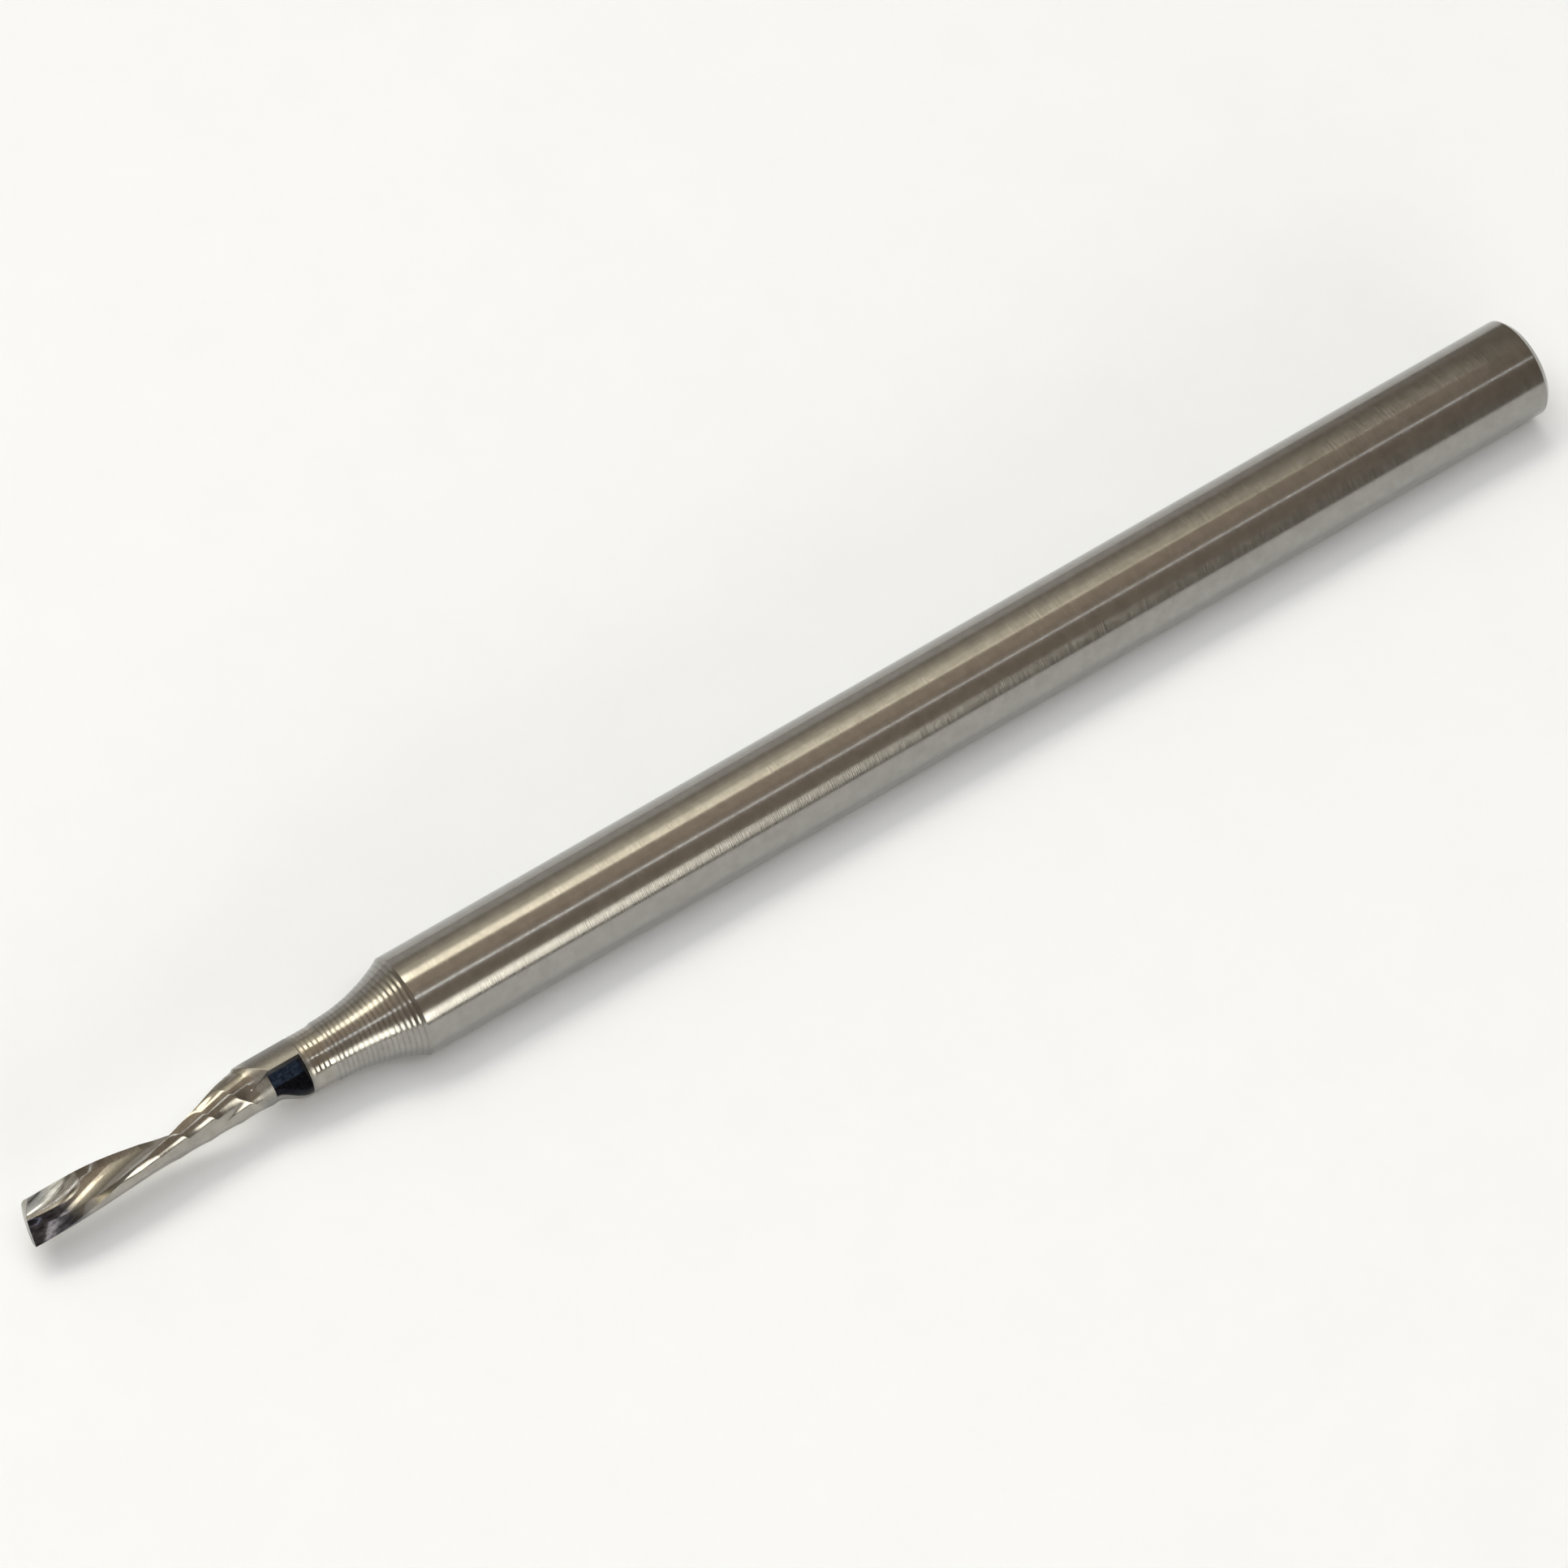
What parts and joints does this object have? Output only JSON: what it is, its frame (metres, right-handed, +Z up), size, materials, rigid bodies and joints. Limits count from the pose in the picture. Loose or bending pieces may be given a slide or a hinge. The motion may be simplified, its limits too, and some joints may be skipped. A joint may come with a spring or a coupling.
{
  "type": "end mill",
  "caption": "Slim single-flute end mill: round shank, concave tapered neck and a reduced spiral cutting end.",
  "frame": {"origin": "centre of the shank's flat end face, on the tool's axis", "axes": "+X along the axis, out of the shank's end face; the cutting end points to -X; +Z up, with the tool lying on its shank"},
  "size_m": [0.05, 0.003, 0.003],
  "materials": {
    "ground_shank": "centreless-ground carbide",
    "ground_neck": "ring-ground carbide",
    "ground_head": "ground and polished carbide"
  },
  "bodies": {
    "root": {"shank": "ground_shank", "neck": "ground_neck", "cutting_head": "ground_head"}
  },
  "joints": []
}
